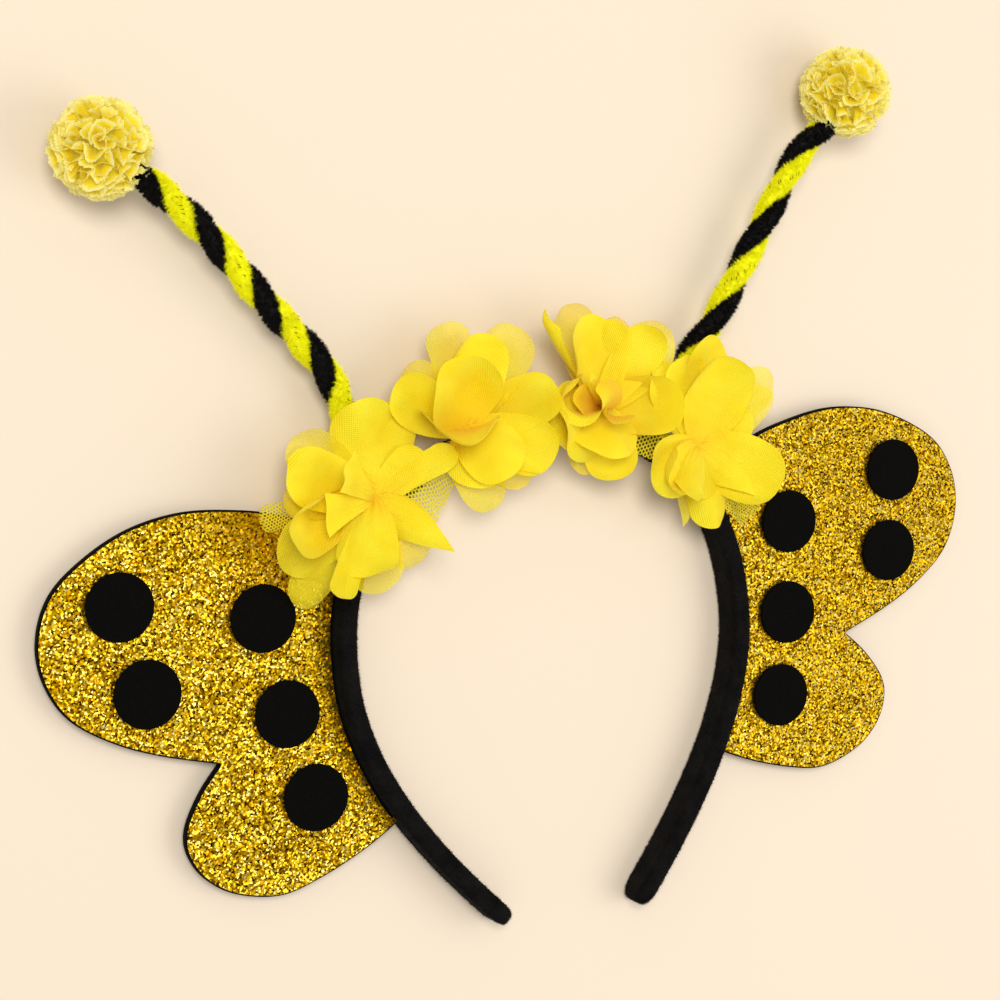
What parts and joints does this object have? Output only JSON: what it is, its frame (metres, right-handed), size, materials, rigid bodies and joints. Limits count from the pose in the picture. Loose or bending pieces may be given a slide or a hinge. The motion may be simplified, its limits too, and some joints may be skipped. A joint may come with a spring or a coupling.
{
  "type": "bee antenna headband",
  "caption": "Arched velvet hair band with glitter butterfly wings, felt dots, twisted chenille antennas with tulle pompoms and a row of chiffon flowers.",
  "frame": {"origin": "on the surface that it lies on, below the middle of the whole object's box", "axes": "+X to the right across the wings, +Y up the arch towards the antennas, +Z from the band's flat back to its face"},
  "size_m": [0.3138, 0.2634, 0.0379],
  "materials": {
    "velvet": "black plush velvet",
    "foam": "cut black foam",
    "glitter": "gold glitter sheet",
    "felt": "black pressed felt",
    "chenille_black": "black chenille stem",
    "chenille_yellow": "lemon chenille stem",
    "pompom_tulle": "pale yellow ruffled tulle",
    "strip_net": "yellow net",
    "chiffon": "yellow chiffon"
  },
  "bodies": {
    "root": {"headband": "velvet", "left_wing_foam": "foam", "left_wing_glitter": "glitter", "right_wing_foam": "foam", "right_wing_glitter": "glitter", "left_dot_1": "felt", "left_dot_2": "felt", "left_dot_3": "felt", "left_dot_4": "felt", "left_dot_5": "felt", "right_dot_1": "felt", "right_dot_2": "felt", "right_dot_3": "felt", "right_dot_4": "felt", "right_dot_5": "felt", "left_antenna_black": "chenille_black", "left_antenna_yellow": "chenille_yellow", "right_antenna_black": "chenille_black", "right_antenna_yellow": "chenille_yellow", "left_pompom": "pompom_tulle", "right_pompom": "pompom_tulle", "tulle_strip": "strip_net", "flower_1": "chiffon", "flower_2": "chiffon", "flower_3": "chiffon", "flower_4": "chiffon"}
  },
  "joints": []
}
